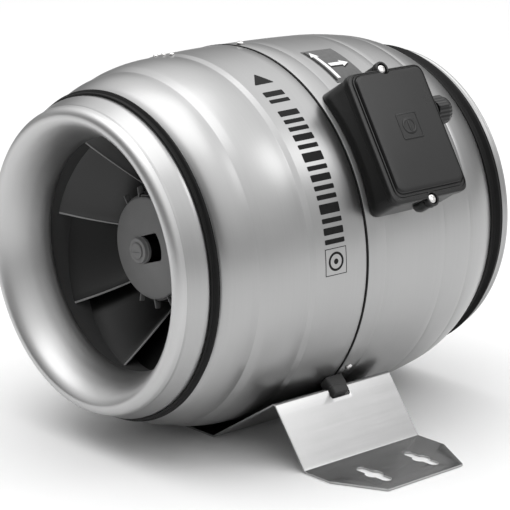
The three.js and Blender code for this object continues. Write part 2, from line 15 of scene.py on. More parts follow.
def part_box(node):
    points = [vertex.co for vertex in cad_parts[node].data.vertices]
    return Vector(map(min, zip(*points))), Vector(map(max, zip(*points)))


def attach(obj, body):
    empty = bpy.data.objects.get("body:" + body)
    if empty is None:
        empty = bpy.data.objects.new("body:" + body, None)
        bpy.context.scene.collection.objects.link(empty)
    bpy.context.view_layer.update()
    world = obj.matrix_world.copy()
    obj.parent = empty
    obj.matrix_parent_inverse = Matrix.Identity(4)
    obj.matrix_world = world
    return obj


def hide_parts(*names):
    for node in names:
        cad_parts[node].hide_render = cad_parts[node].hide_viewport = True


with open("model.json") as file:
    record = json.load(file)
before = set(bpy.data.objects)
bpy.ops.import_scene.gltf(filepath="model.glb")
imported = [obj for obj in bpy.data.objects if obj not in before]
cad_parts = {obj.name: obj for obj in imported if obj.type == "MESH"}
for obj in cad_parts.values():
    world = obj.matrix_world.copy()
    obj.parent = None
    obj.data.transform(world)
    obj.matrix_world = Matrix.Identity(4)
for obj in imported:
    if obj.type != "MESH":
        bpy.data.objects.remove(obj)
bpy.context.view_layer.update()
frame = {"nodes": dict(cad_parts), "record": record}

MM = 0.001
AROUND = 192  # facets around the duct axis on the casing
ROUND_INSIDE = 128  # and on the large turned pieces inside it
CASING = "casing"
IMPELLER = "impeller"


def box_mm(node):
    """The lowest and highest corners of a CAD node, in millimetres."""
    low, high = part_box(node)
    return Vector(low) / MM, Vector(high) / MM


# Driving dimensions, read from the frame
inlet_low, inlet_high = box_mm("inlet_casing")
bracket_low, bracket_high = box_mm("support_bracket")
AXIS_HEIGHT = (inlet_low.z + inlet_high.z) / 2
BODY = (inlet_high.z - inlet_low.z) / 2  # casing radius at its joint
DUCT_START = box_mm("inlet_nozzle")[0].y
DUCT_END = box_mm("outlet_casing")[1].y
SPIGOT = 149.4  # outer radius of both duct spigots
SHEET = 2.0  # pressed sheet thickness

DUCTED = Matrix.Translation((0, 0, AXIS_HEIGHT * MM)) @ Matrix.Scale(MM, 4)
FLOOR = Matrix.Scale(MM, 4)
BOX_TILT = radians(31.5)  # the terminal box faces out and up
BOXED = DUCTED @ Matrix.Rotation(-BOX_TILT, 4, "Y")  # X out of the casing, Y along the duct


# ---- outlines

def arc_points(centre, radius, start, end, steps):
    """Points on an arc, with its angles in degrees."""
    points = []
    for i in range(steps + 1):
        angle = radians(start + (end - start) * i / steps)
        points.append((centre[0] + radius * cos(angle), centre[1] + radius * sin(angle)))
    return points


def rounded(points, radius, steps=5, closed=True):
    """A polyline with its corners rounded. The radius is one number, or one for each corner."""
    count = len(points)
    made = []
    for i, point in enumerate(points):
        corner = radius[i] if isinstance(radius, (list, tuple)) else radius
        here = Vector(point)
        before = Vector(points[i - 1]) - here
        after = Vector(points[(i + 1) % count]) - here
        half_turn = before.angle(after, 0.0) / 2
        kept = corner <= 0 or (not closed and i in (0, count - 1))
        if kept or not radians(2) < half_turn < radians(89.9):
            made.append(tuple(point))
            continue
        reach = min(corner / math.tan(half_turn), 0.48 * before.length, 0.48 * after.length)
        start = here + before.normalized() * reach
        end = here + after.normalized() * reach
        for step in range(steps + 1):
            t = step / steps
            made.append(tuple(start * (1 - t) ** 2 + here * 2 * t * (1 - t) + end * t * t))
    return made


def bulged(start, end, rise, steps=12):
    """Points between start and end, without either, that bow outward by rise."""
    start = Vector(start)
    end = Vector(end)
    along = end - start
    out = Vector((-along.y, along.x)).normalized()
    shares = [i / steps for i in range(1, steps)]
    return [tuple(start + along * t + out * rise * 4 * t * (1 - t)) for t in shares]


def smooth_line(points):
    """A Catmull-Rom line through the points."""
    steps = 8
    ends = [Vector(points[0]) * 2 - Vector(points[1])]
    ends += [Vector(point) for point in points]
    ends.append(Vector(points[-1]) * 2 - Vector(points[-2]))
    made = []
    for a, b, c, d in zip(ends, ends[1:], ends[2:], ends[3:]):
        for i in range(steps):
            t = i / steps
            curve = b * 2 + (c - a) * t + (a * 2 - b * 5 + c * 4 - d) * t ** 2
            curve += (b * 3 - a - c * 3 + d) * t ** 3
            made.append(tuple(curve / 2))
    made.append(tuple(ends[-2]))
    return made


def walled(line, thickness):
    """A closed section: the line, and the same line again at a wall's thickness to its right."""
    inner = []
    for i, point in enumerate(line):
        before = Vector(line[max(i - 1, 0)])
        after = Vector(line[min(i + 1, len(line) - 1)])
        along = (after - before).normalized()
        inner.append(tuple(Vector(point) + Vector((along.y, -along.x)) * thickness))
    return list(line) + inner[::-1]


def circle(radius, steps=36):
    """A circle around the origin, as points."""
    return arc_points((0, 0), radius, 0, 360 * (1 - 1 / steps), steps - 1)


def rectangle(low, high, corner, steps=8):
    """A rectangle with round corners, as points."""
    corners = [(low[0], low[1]), (high[0], low[1]), (high[0], high[1]), (low[0], high[1])]
    return rounded(corners, corner, steps)


def square_outline(half, corner, steps):
    return rectangle((-half, -half), (half, half), corner, steps)


# ---- meshes

def spun(section, steps=AROUND, closed=True):
    """A ring or turned solid about Y, from [along, radius] points."""
    bm = bmesh.new()
    rings = []
    for along, radius in section:
        if radius < 1e-4:
            rings.append([bm.verts.new((0, along, 0))] * steps)
            continue
        ring = []
        for i in range(steps):
            angle = 2 * math.pi * i / steps
            ring.append(bm.verts.new((radius * cos(angle), along, radius * sin(angle))))
        rings.append(ring)
    pairs = list(zip(rings, rings[1:]))
    if closed and section[0][1] > 1e-4:
        pairs.append((rings[-1], rings[0]))
    for first, second in pairs:
        for i in range(steps):
            corners = [first[i], first[(i + 1) % steps], second[(i + 1) % steps], second[i]]
            unique = list(dict.fromkeys(corners))
            if len(unique) > 2:
                bm.faces.new(unique)
    return bm


def lofted(loops):
    """A closed skin over a stack of loops with the same number of points."""
    bm = bmesh.new()
    rings = [[bm.verts.new(point) for point in loop] for loop in loops]
    count = len(rings[0])
    for first, second in zip(rings, rings[1:]):
        for i in range(count):
            bm.faces.new([first[i], first[(i + 1) % count], second[(i + 1) % count], second[i]])
    bm.faces.new(rings[0][::-1])
    bm.faces.new(rings[-1])
    return bm


def plug(front, rear, radius):
    """A fine cylinder around the duct axis, used for cutting."""
    return spun([(front, 0), (front, radius), (rear, radius), (rear, 0)], 256, closed=False)


def flat(outlines, thickness, bevel=0.0, bevel_steps=2):
    """A flat plate in X-Y, centred on Z = 0. The first outline is its edge and the others are holes."""
    curve = bpy.data.curves.new("outline", "CURVE")
    curve.dimensions = "2D"
    curve.fill_mode = "BOTH"
    curve.extrude = thickness / 2 - bevel
    curve.bevel_depth = bevel
    curve.bevel_resolution = bevel_steps
    curve.offset = -bevel
    for outline in outlines:
        spline = curve.splines.new("POLY")
        spline.points.add(len(outline) - 1)
        for point, (x, y) in zip(spline.points, outline):
            point.co = (x, y, 0, 1)
        spline.use_cyclic_u = True
    holder = bpy.data.objects.new("outline", curve)
    mesh = bpy.data.meshes.new_from_object(holder)
    bm = bmesh.new()
    bm.from_mesh(mesh)
    bmesh.ops.remove_doubles(bm, verts=bm.verts, dist=0.002)
    bpy.data.objects.remove(holder)
    bpy.data.curves.remove(curve)
    bpy.data.meshes.remove(mesh)
    return bm


def sliced(bm, places):
    """Cuts edges into a mesh at each place along X, so that it can bend there."""
    normal = Vector((1, 0, 0))
    for place in places:
        everything = bm.verts[:] + bm.edges[:] + bm.faces[:]
        bmesh.ops.bisect_plane(bm, geom=everything, plane_co=normal * place, plane_no=normal, dist=1e-4)
    return bm


def mapped(bm, mapping):
    """Moves every point of a mesh."""
    for vertex in bm.verts:
        vertex.co = mapping(vertex.co)
    return bm


def merged(*meshes):
    """One mesh of several closed shells."""
    whole = bmesh.new()
    for bm in meshes:
        part = bpy.data.meshes.new("part")
        bm.to_mesh(part)
        bm.free()
        whole.from_mesh(part)
        bpy.data.meshes.remove(part)
    return whole


def linked(name, bm):
    """Turns a mesh into an object of the scene."""
    mesh = bpy.data.meshes.new(name)
    bm.to_mesh(mesh)
    bm.free()
    made = bpy.data.objects.new(name, mesh)
    bpy.context.scene.collection.objects.link(made)
    return made


def boolean(bm, tool, operation="DIFFERENCE"):
    """Cuts or joins two closed meshes."""
    objects = []
    for source in (bm, tool):
        bmesh.ops.recalc_face_normals(source, faces=source.faces)
        objects.append(linked("operand", source))
    modifier = objects[0].modifiers.new("boolean", "BOOLEAN")
    modifier.operation = operation
    modifier.solver = "EXACT"
    modifier.object = objects[1]
    depsgraph = bpy.context.evaluated_depsgraph_get()
    result = bpy.data.meshes.new_from_object(objects[0].evaluated_get(depsgraph))
    made = bmesh.new()
    made.from_mesh(result)
    bpy.data.meshes.remove(result)
    for holder in objects:
        mesh = holder.data
        bpy.data.objects.remove(holder)
        bpy.data.meshes.remove(mesh)
    return made


def piece(name, bm, material, node=None, body=CASING, place=DUCTED, sharp=35):
    """Makes a mesh into a piece of the object, in place of a CAD node if one is named.

    Its material's name may have a number behind it, because the frame brings materials of its own.
    """
    bmesh.ops.recalc_face_normals(bm, faces=bm.faces)
    bm.transform(place)
    made = linked(name, bm)
    made.data.shade_smooth()
    made.data.set_sharp_from_angle(angle=radians(sharp))
    made.data.materials.append(material)
    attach(made, body)
    if node:
        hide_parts(node)


def facing(direction, origin, spin=0.0):
    """Turns a mesh's +Z to a direction, at an origin, both in millimetres around the duct axis."""
    turn = Vector(direction).to_track_quat("Z", "Y").to_matrix().to_4x4()
    return Matrix.Translation(Vector(origin)) @ turn @ Matrix.Rotation(spin, 4, "Z")


def outward(degrees, radius=1.0, along=0.0):
    """A point around the duct axis, from +X towards +Z."""
    angle = radians(degrees)
    return Vector((radius * cos(angle), along, radius * sin(angle)))


# ---- materials

class NodeTree:
    """A node tree, with short calls for the nodes used here."""

    def __init__(self, tree):
        self.tree = tree

    def add(self, kind, **inputs):
        node = self.tree.nodes.new("ShaderNode" + kind)
        for name, value in inputs.items():
            self.feed(node.inputs[name.replace("_", " ")], value)
        return node

    def feed(self, socket, value):
        if isinstance(value, bpy.types.NodeSocket):
            self.tree.links.new(value, socket)
        else:
            socket.default_value = value

    def maths(self, operation, first, second=0.0):
        node = self.add("Math")
        node.operation = operation
        self.feed(node.inputs[0], first)
        self.feed(node.inputs[1], second)
        return node.outputs["Value"]

    def split(self, vector):
        apart = self.add("SeparateXYZ", Vector=vector)
        return [apart.outputs[axis] for axis in "XYZ"]

    def times(self, first, second):
        return self.maths("MULTIPLY", first, second)

    def blend(self, first, second, share):
        """Two values mixed, with the share of the first."""
        return self.maths("ADD", self.times(first, share), self.times(second, 1 - share))

    def ramp(self, value, low, high, start=0.3, end=0.7, interpolation="LINEAR"):
        """Maps start...end onto low...high. The middle range of a noise is the usual one."""
        node = self.add("MapRange", Value=value)
        node.interpolation_type = interpolation
        for socket, number in zip(node.inputs[1:5], (start, end, low, high)):
            socket.default_value = number
        return node.outputs["Result"]


class Nodes(NodeTree):
    """A material, with its node tree."""

    def __init__(self, name):
        self.material = bpy.data.materials.new(name)
        self.material.use_nodes = True
        super().__init__(self.material.node_tree)
        self.shader = self.tree.nodes["Principled BSDF"]
        self.place = self.add("TexCoord").outputs["Object"]

    def stretched(self, scale):
        return self.add("Mapping", Vector=self.place, Scale=scale).outputs["Vector"]

    def around_axis(self, scale_along, scale_around):
        """Coordinates unrolled around the duct axis: angle, then place along a section."""
        x, y, z = self.split(self.place)
        height = self.maths("SUBTRACT", z, AXIS_HEIGHT * MM)
        turned = self.times(self.maths("ARCTAN2", height, x), scale_around)
        radius = self.maths("SQRT", self.maths("ADD", self.times(height, height), self.times(x, x)))
        along = self.times(self.maths("ADD", y, radius), scale_along)
        return self.add("CombineXYZ", X=turned, Y=along, Z=self.times(x, 3.0)).outputs["Vector"]

    def noise(self, vector, scale, detail=3.0, roughness=0.55):
        node = self.add("TexNoise", Vector=vector, Scale=scale, Detail=detail, Roughness=roughness)
        return node.outputs["Fac"]

    def shade(self, value, dark, light):
        """A colour between two tints."""
        mix = self.add("Mix")
        mix.data_type = "RGBA"
        self.feed(mix.inputs[0], value)
        mix.inputs[6].default_value = (*dark, 1)
        mix.inputs[7].default_value = (*light, 1)
        return mix.outputs[2]

    def greys(self, value, dark, light):
        """A colour between two greys, over the middle range of a noise."""
        return self.shade(self.ramp(value, 0, 1), tint(dark), tint(light))

    def bump(self, height, strength, distance):
        node = self.add("Bump", Height=height, Strength=strength, Distance=distance)
        self.feed(self.shader.inputs["Normal"], node.outputs["Normal"])

    def finish(self, color, roughness, metallic=0.0, specular=0.5):
        self.feed(self.shader.inputs["Base Color"], color)
        self.feed(self.shader.inputs["Roughness"], roughness)
        self.shader.inputs["Metallic"].default_value = metallic
        self.shader.inputs["Specular IOR Level"].default_value = specular
        return self.material


def tint(grey, warmth=0.0):
    return (grey * (1 + warmth), grey, grey * (1 - warmth))


def spun_metal(name, dark, light, rough_low, rough_high, grain=0.05):
    """Satin sheet metal with a fine grain that runs around the duct axis."""
    nodes = Nodes(name)
    grain_lines = nodes.noise(nodes.around_axis(900.0, 1.6), 1.0, 4.0, 0.6)
    cloud = nodes.noise(nodes.place, 9.0)
    mixed = nodes.blend(grain_lines, cloud, 0.35)
    nodes.bump(grain_lines, grain, 0.00006)
    return nodes.finish(nodes.greys(mixed, dark, light), nodes.ramp(mixed, rough_low, rough_high), 1.0)


def sheet_metal(name, dark, light, rough_low, rough_high):
    """Zinc-plated sheet with a straight rolling grain along the duct."""
    nodes = Nodes(name)
    grain_lines = nodes.noise(nodes.stretched((260.0, 7.0, 260.0)), 1.0, 4.0, 0.6)
    cloud = nodes.noise(nodes.place, 22.0)
    spangle = nodes.noise(nodes.place, 160.0, 2.0)
    mixed = nodes.blend(grain_lines, cloud, 0.5)
    nodes.bump(nodes.maths("ADD", grain_lines, nodes.times(spangle, 0.3)), 0.12, 0.00006)
    return nodes.finish(nodes.greys(mixed, dark, light), nodes.ramp(mixed, rough_low, rough_high), 1.0)


def moulded_plastic(name, dark, light, rough_low, rough_high, specular=0.5):
    """Injection-moulded plastic with a fine spark-eroded texture and slight clouding."""
    nodes = Nodes(name)
    pits = nodes.noise(nodes.place, 1500.0, 2.0)
    cloud = nodes.noise(nodes.place, 14.0, 4.0)
    nodes.bump(pits, 0.25, 0.00008)
    roughness = nodes.ramp(cloud, rough_low, rough_high)
    return nodes.finish(nodes.greys(cloud, dark, light), roughness, 0.0, specular)


def rubber_material(name):
    """Black rubber with a dusty surface and a faint moulded grain around the duct."""
    nodes = Nodes(name)
    grain_lines = nodes.noise(nodes.around_axis(700.0, 3.0), 1.0)
    dust = nodes.noise(nodes.place, 60.0, 4.0)
    nodes.bump(nodes.maths("ADD", grain_lines, dust), 0.15, 0.0001)
    return nodes.finish(nodes.greys(dust, 0.003, 0.006), nodes.ramp(dust, 0.45, 0.6), 0.0, 0.2)


def plated_material(name):
    """Bright plated steel with fine scratches."""
    nodes = Nodes(name)
    scratches = nodes.noise(nodes.stretched((1400.0, 240.0, 1400.0)), 1.0)
    nodes.bump(scratches, 0.1, 0.00004)
    color = nodes.shade(nodes.ramp(scratches, 0, 1), tint(0.731, 0.01), tint(0.86, 0.01))
    return nodes.finish(color, nodes.ramp(scratches, 0.2, 0.32), 1.0)


def machined_material(name):
    """Turned steel, duller than the plating."""
    nodes = Nodes(name)
    lines = nodes.noise(nodes.around_axis(1500.0, 2.0), 1.0)
    nodes.bump(lines, 0.15, 0.00006)
    return nodes.finish(nodes.greys(lines, 0.28, 0.42), nodes.ramp(lines, 0.34, 0.48), 1.0)


def winding_material(name):
    """Lacquered copper wire, laid around the stator."""
    nodes = Nodes(name)
    turns = nodes.add("TexWave", Vector=nodes.place, Scale=260.0, Distortion=1.2)
    turns.bands_direction = "Y"
    nodes.bump(turns.outputs["Fac"], 0.6, 0.0004)
    color = nodes.shade(turns.outputs["Fac"], (0.30, 0.10, 0.035), (0.62, 0.27, 0.12))
    return nodes.finish(color, nodes.ramp(turns.outputs["Fac"], 0.28, 0.4), 0.9)


def printed_material(name, dark, light, rough):
    """Printing ink or label film, slightly uneven."""
    nodes = Nodes(name)
    cover = nodes.noise(nodes.place, 240.0)
    nodes.bump(cover, 0.08, 0.00005)
    return nodes.finish(nodes.greys(cover, dark, light), rough, 0.0, 0.15)


casing_metal = spun_metal("casing_metal", 0.38, 0.42, 0.31, 0.37)
lip_metal = spun_metal("lip_metal", 0.49, 0.52, 0.36, 0.42, 0.03)
inner_metal = spun_metal("inner_metal", 0.30, 0.38, 0.36, 0.46)
bracket_metal = sheet_metal("bracket_metal", 0.38, 0.42, 0.20, 0.26)
rubber = rubber_material("rubber")
box_plastic = moulded_plastic("box_plastic", 0.004, 0.006, 0.27, 0.32, specular=0.4)
lug_plastic = moulded_plastic("lug_plastic", 0.040, 0.050, 0.45, 0.55, specular=0.3)
fan_plastic = moulded_plastic("fan_plastic", 0.003, 0.005, 0.30, 0.36, specular=0.5)
shroud_plastic = moulded_plastic("shroud_plastic", 0.06, 0.07, 0.40, 0.48, specular=0.3)
hub_plastic = moulded_plastic("hub_plastic", 0.17, 0.20, 0.42, 0.52, specular=0.3)
# pale grey plastic that paints the highlight where the blades' front edges catch the light
highlight_plastic = moulded_plastic("highlight_plastic", 0.24, 0.28, 0.36, 0.44)
white_plastic = moulded_plastic("white_plastic", 0.66, 0.72, 0.38, 0.48)
screw_steel = plated_material("screw_steel")
motor_steel = machined_material("motor_steel")
copper = winding_material("copper")
black_ink = printed_material("black_ink", 0.004, 0.008, 0.5)
label_film = printed_material("label_film", 0.11, 0.13, 0.45)
white_ink = printed_material("white_ink", 0.80, 0.86, 0.4)


# ---- camera

def make_camera():
    """A long lens at 49 degrees from the inlet end and 14 degrees up."""
    azimuth = radians(49.23)
    elevation = radians(14.41)
    roll = radians(-0.2)
    distance = 2.0959
    aside, above = 0.0069, -0.0123  # aim off the middle of the joint
    away = Vector((
        sin(azimuth) * cos(elevation),
        -cos(azimuth) * cos(elevation),
        sin(elevation),
    ))
    right = (-away).cross(Vector((0, 0, 1))).normalized()
    up = right.cross(-away)
    forward = -away + right * aside + up * above
    turn = forward.to_track_quat("-Z", "Y").to_matrix().to_4x4() @ Matrix.Rotation(roll, 4, "Z")
    lens = bpy.data.cameras.new("camera")
    lens.sensor_width = 36.0
    lens.lens = 153.9
    lens.clip_end = 20.0
    camera = bpy.data.objects.new("camera", lens)
    camera.matrix_world = Matrix.Translation(away * distance + Vector((0, 0, AXIS_HEIGHT * MM))) @ turn
    bpy.context.scene.collection.objects.link(camera)
    bpy.context.scene.camera = camera


make_camera()


# ---- casing

def make_nozzle():
    """The rolled inlet lip, which runs inward as the throat in front of the impeller."""
    line = rounded([(-144.6, 113.2), (-142.6, 111.8), (-143.4, 109.8), (-147, 109.9)], 0.8, 4, closed=False)
    line += smooth_line([
        (-147, 109.9), (-152, 110.8), (-159, 112.8), (-168, 116.0), (-178, 120.6), (-186.2, 125.8),
        (DUCT_START + 0.9, 131.0), (DUCT_START, 135.0), (DUCT_START + 1.3, 138.8),
        (DUCT_START + 4.3, 141.6), (DUCT_START + 8.4, 143.1),
    ])[1:]
    section = walled(line, 1.6)
    piece("inlet_nozzle_lip", spun(section), lip_metal, "inlet_nozzle")


def make_inlet_casing():
    """Front half: spigot, a bulged shoulder with two pressed creases, and a straight band."""
    line = rounded([
        (-183.2, SPIGOT - 6.5), (-181.0, SPIGOT - 6.0), (-167.5, SPIGOT), (-152.2, SPIGOT),
        (-149.2, SPIGOT + 3.9),
    ], [0, 3.0, 5.0, 2.2, 0], 6, closed=False)
    line += bulged((-148.6, SPIGOT + 4.6), (-124.5, 164.6), 1.7)
    line += rounded([(-124.5, 164.6), (-119.5, 165.3), (-113.0, 168.3)], 4.0, 6, closed=False)
    line += bulged((-112.6, 168.5), (-73.5, 173.9), 1.4, 16)
    line += rounded([(-73.5, 173.9), (-67.5, 173.7), (-61.5, 175.4), (-60.6, 175.4)], 4.0, 6, closed=False)
    line += bulged((-60.2, 175.4), (-3.0, BODY - 0.2), 0.2, 6)
    line += [(-2.2, BODY - 0.1), (-1.3, BODY - 0.5)]
    piece("inlet_casing_shell", spun(walled(line, SHEET)), casing_metal, "inlet_casing")


def crease(along, radius, slope, depth):
    """A shallow pressed line around the casing, as points of its section."""
    half = 1.9
    rise = slope * half
    return [(along - half, radius - rise), (along, radius - depth), (along + half, radius + rise)]


def make_outlet_casing():
    """Rear half: a long bulge with three faint creases, then the outlet spigot with a beaded edge."""
    line = [(1.3, BODY - 0.5), (2.2, BODY - 0.1)]
    line += rounded(crease(24, BODY - 0.1, -0.01, 0.4), 2.0, 4, closed=False)
    line += bulged((26.4, BODY - 0.15), (99.8, 175.2), 0.35, 10)
    line += rounded(crease(102, 175.1, -0.06, 0.45), 2.0, 4, closed=False)
    line += bulged((104.4, 174.9), (139, 171.0), 0.5, 8)
    line += rounded(crease(141, 170.7, -0.14, 0.5), 2.0, 4, closed=False)
    line += bulged((143.4, 170.3), (185.4, 154.6), 2.6, 14)
    line += rounded([
        (185.4, 154.6), (188.6, SPIGOT + 0.9), (192.0, SPIGOT), (DUCT_END - 4.0, SPIGOT),
        (DUCT_END - 3.0, SPIGOT + 0.9), (DUCT_END - 1.2, SPIGOT + 0.9), (DUCT_END, SPIGOT - 0.4),
    ], 1.5, 5, closed=False)
    piece("outlet_casing_shell", spun(walled(line, SHEET)), casing_metal, "outlet_casing")


def make_joint_ring():
    """The black ring between the casing halves."""
    section = rounded([(-1.0, BODY - 6), (-1.0, BODY + 0.35), (1.0, BODY + 0.35), (1.0, BODY - 6)], 0.35, 3)
    piece("joint_ring", spun(section), rubber, "casing_gasket")


def make_seal(name, node, front, rear, seat, tip):
    """A rubber lip seal: a band with edge beads and one leaning lip."""
    width = rear - front
    heights = (
        (0, 1.9), (0.12, 2.5), (0.24, 1.6), (0.40, 1.7), (0.56, tip), (0.66, tip - 0.2),
        (0.70, 1.5), (0.84, 1.5), (0.92, 2.4),
    )
    band = [(front + share * width, seat + height) for share, height in heights]
    section = rounded([(front, seat), *band, (rear, seat + 1.9), (rear, seat)], 0.45, 3)
    piece(name, spun(section), rubber, node)


make_nozzle()
make_inlet_casing()
make_outlet_casing()
make_joint_ring()
make_seal("inlet_lip_seal", "inlet_seal", -163, -153.2, SPIGOT + 0.2, 4.6)
make_seal("outlet_lip_seal", "outlet_seal", 190.4, 206.4, SPIGOT + 0.2, 5.4)


# ---- screws

def standing(section, steps):
    """A turned solid about Z, from [height, radius] points."""
    return mapped(spun(section, steps, closed=False), lambda p: Vector((p.x, -p.z, p.y)))


def screw(radius, height, arms=(0.62, 0.62), half_slot=None):
    """A pan-head screw that stands on Z = 0, with a straight slot or a cross in its head."""
    shank = radius * 0.5
    section = [(-1.0, 0.0), (-1.0, shank), (0.0, shank), (0.0, radius * 0.96), (height * 0.3, radius)]
    section += [
        (height * (0.3 + 0.7 * sin(t)), radius * cos(t) ** 0.6)
        for t in (radians(12 * i) for i in range(1, 8))
    ]
    head = standing(section + [(height, 0.0)], 32)
    for i, reach in enumerate(arms):
        across = [radius * reach, half_slot or radius * 0.13]
        cutter = bmesh.new()
        bmesh.ops.create_cube(cutter, size=2.0)
        bmesh.ops.scale(cutter, vec=(across[i], across[1 - i], height * 0.45), verts=cutter.verts)
        bmesh.ops.translate(cutter, vec=(0, 0, height), verts=cutter.verts)
        head = boolean(head, cutter)
    return head


def rivet(radius, height):
    """A domed rivet head that stands on Z = 0."""
    section = [(-0.8, 0.0), (-0.8, radius * 0.6), (0.0, radius * 0.6), (0.0, radius)]
    section += [
        (height * sin(t), radius * cos(t)) for t in (radians(15 * i) for i in range(1, 6))
    ]
    return standing(section + [(height, 0.0)], 24)


def place_screw(name, bm, matrix, node, place=DUCTED):
    """Sets a screw or rivet on its seat."""
    bm.transform(matrix)
    piece(name, bm, screw_steel, node, place=place, sharp=40)


place_screw("joint_screw_head", screw(3.8, 2.8), facing(outward(92), outward(92, BODY + 0.3, 7), 0.4),
            "joint_screw_top")
for i, degrees in enumerate((97, 101, 105)):
    place_screw(f"casing_rivet_head_{i + 1}", rivet(2.6, 1.9),
                facing(outward(degrees), outward(degrees, 175.0, -64)), f"casing_rivet_{i + 1}")


# ---- mount lugs

LUG_ANGLE = -41.6
LUG_SCREW_TURN = 4.4  # degrees from a lug up to its screw
LUG_FRONT = -13.0
LUG_REAR = 7.5
LUG_TOP = 195.0
LUG_HALF = 9.0
LUG_RISE = 4.5  # upper side of a lug from its middle


def make_lug(side, angle, screw_angle):
    """A moulded block on the joint, with a rounded outer face and a step at its foot."""
    upward = 1 if side == "right" else -1
    under, over = sorted((-LUG_HALF * upward, LUG_RISE * upward))
    stations = [(BODY - 4.0, 0.0), (LUG_TOP - 8.0, 0.0), (LUG_TOP - 7.4, 0.7), (LUG_TOP - 1.3, 0.9),
                (LUG_TOP - 0.4, 1.3), (LUG_TOP, 2.3)]
    loops = []
    for out, inset in stations:
        outline = rectangle((LUG_FRONT + inset, under + inset), (LUG_REAR - inset, over - inset), 2.6, 5)
        loops.append([(out, y, z) for y, z in outline])
    block = lofted(loops)
    block.transform(Matrix.Rotation(-radians(angle), 4, "Y"))
    block = boolean(block, plug(-40, 40, BODY + 0.6))
    piece(f"mount_lug_block_{side}", block, lug_plastic, f"mount_lug_{side}")
    place_screw(f"lug_screw_head_{side}", screw(3.4, 2.4),
                facing(outward(screw_angle), outward(screw_angle, BODY + 0.3, 10.6), 0.3),
                f"lug_screw_{side}")


make_lug("right", LUG_ANGLE, LUG_ANGLE + LUG_SCREW_TURN)
make_lug("left", 180 - LUG_ANGLE, 180 - LUG_ANGLE - LUG_SCREW_TURN)


# ---- support bracket

class BentPath:
    """The bracket's middle line in X-Z, from the middle of the floor plate out to the edge of a foot."""

    def __init__(self, corners, radius):
        points = rounded(corners, [0] + [radius] * (len(corners) - 2) + [0], 8, closed=False)
        self.points = [Vector(point) for point in points]
        self.reach = [0.0]
        for first, second in zip(self.points, self.points[1:]):
            self.reach.append(self.reach[-1] + (second - first).length)

    def straight(self, index):
        """The upward normal of one short step of the line."""
        along = self.points[index + 1] - self.points[index]
        return Vector((-along.y, along.x)).normalized()

    def at(self, distance):
        """The point and the upward normal at a distance along the line, turned evenly through a bend."""
        distance = min(distance, self.reach[-1])
        index = max(i for i, reach in enumerate(self.reach[:-1]) if reach <= distance + 1e-6)
        past = distance - self.reach[index]
        along = (self.points[index + 1] - self.points[index]).normalized()
        normal = self.straight(index)
        if past < 1e-3 and index > 0:
            normal = (self.straight(index - 1) + normal).normalized()
        return self.points[index] + along * past, normal


FLOOR_EDGE = 52.9  # bend between the floor plate and a cradle plate
FOLD = (139.0, AXIS_HEIGHT - 124.6)  # top fold between a cradle plate and a leg
FOOT_BEND = 180.0
REST = SHEET / 2
BRACKET_LINE = [(0, REST), (FLOOR_EDGE, REST), FOLD, (FOOT_BEND, REST), (bracket_high.x, REST)]
BEND_RADIUS = 3.0
CHAMFER = (48.0, 25.0)  # what a foot's corner loses across and along
SLOT_MIDDLE = 226.0
SLOT_PLACES = (-37.5, 22.5)


def slot_outline(middle_x, middle_y):
    """A keyhole slot that is narrow at both ends, with a round middle."""
    narrow, half, wide = 5.0, 16.0, 8.5
    shoulder = math.degrees(math.asin(narrow / wide))
    outline = arc_points((half, 0), narrow, -90, 90, 8)
    outline += arc_points((0, 0), wide, shoulder, 180 - shoulder, 12)
    outline += arc_points((-half, 0), narrow, 90, 270, 8)
    outline += arc_points((0, 0), wide, 180 + shoulder, 360 - shoulder, 12)
    return [(middle_x + x, middle_y + y) for x, y in outline]


def make_bracket():
    """One sheet, laid out flat with its holes and then bent."""
    path = BentPath(BRACKET_LINE, BEND_RADIUS)
    half = path.reach[-1]
    front, rear = bracket_low.y, bracket_high.y
    corner_x = half - CHAMFER[0]
    foot = [(corner_x, front), (half, front + CHAMFER[1]), (half, rear - CHAMFER[1]), (corner_x, rear)]
    outlines = [rounded(foot + [(-x, y) for x, y in reversed(foot)], 3.0, 4)]
    fold = min(range(len(path.points)), key=lambda i: (path.points[i] - Vector(FOLD)).length)
    near, far = path.reach[fold] - 10.9, path.reach[fold] + 10.0
    slot_x = half - (bracket_high.x - SLOT_MIDDLE)
    for side in (1, -1):
        outlines += [slot_outline(side * slot_x, along) for along in SLOT_PLACES]
        low, high = (near, far) if side > 0 else (-far, -near)
        outlines.append(rectangle((low, -14.5), (high, 9.0), 2.5, 5))
    plate = flat(outlines, SHEET, 0.35)
    stations = path.reach[1:-1] + [12.0 * i for i in range(1, int(half / 12))]
    sliced(plate, sorted(stations + [-s for s in stations] + [0.0]))

    def bend(point):
        place, normal = path.at(abs(point.x))
        side = 1 if point.x >= 0 else -1
        offset = place + normal * point.z
        return Vector((side * offset.x, point.y, offset.y))
    piece("bracket_sheet", mapped(plate, bend), bracket_metal, "support_bracket", place=FLOOR, sharp=30)


make_bracket()


# ---- terminal box

BOX_FRONT = 6.0
BOX_REAR = 102.0
BOX_LOW = -57.0
BOX_HIGH = 70.2
BOX_MIDDLE = (BOX_FRONT + BOX_REAR) / 2
COVER_UNDER = 198.7
COVER_RIM = 205.1
COVER_TOP = 206.9
GLAND_OUT = 188.9
GLAND_UP = 26.0
COVER_LUGS = (("upper", BOX_HIGH + 0.5), ("lower", BOX_LOW - 0.5))


def box_loop(out, near, far, corner):
    """A loop with round corners, inset by near at the box's front and low sides and by far at the others."""
    outline = rectangle((BOX_FRONT + near, BOX_LOW + near), (BOX_REAR - far, BOX_HIGH - far), corner, 9)
    return [(out, y, z) for y, z in outline]


def even_loop(out, inset, corner):
    return box_loop(out, inset, inset, corner)


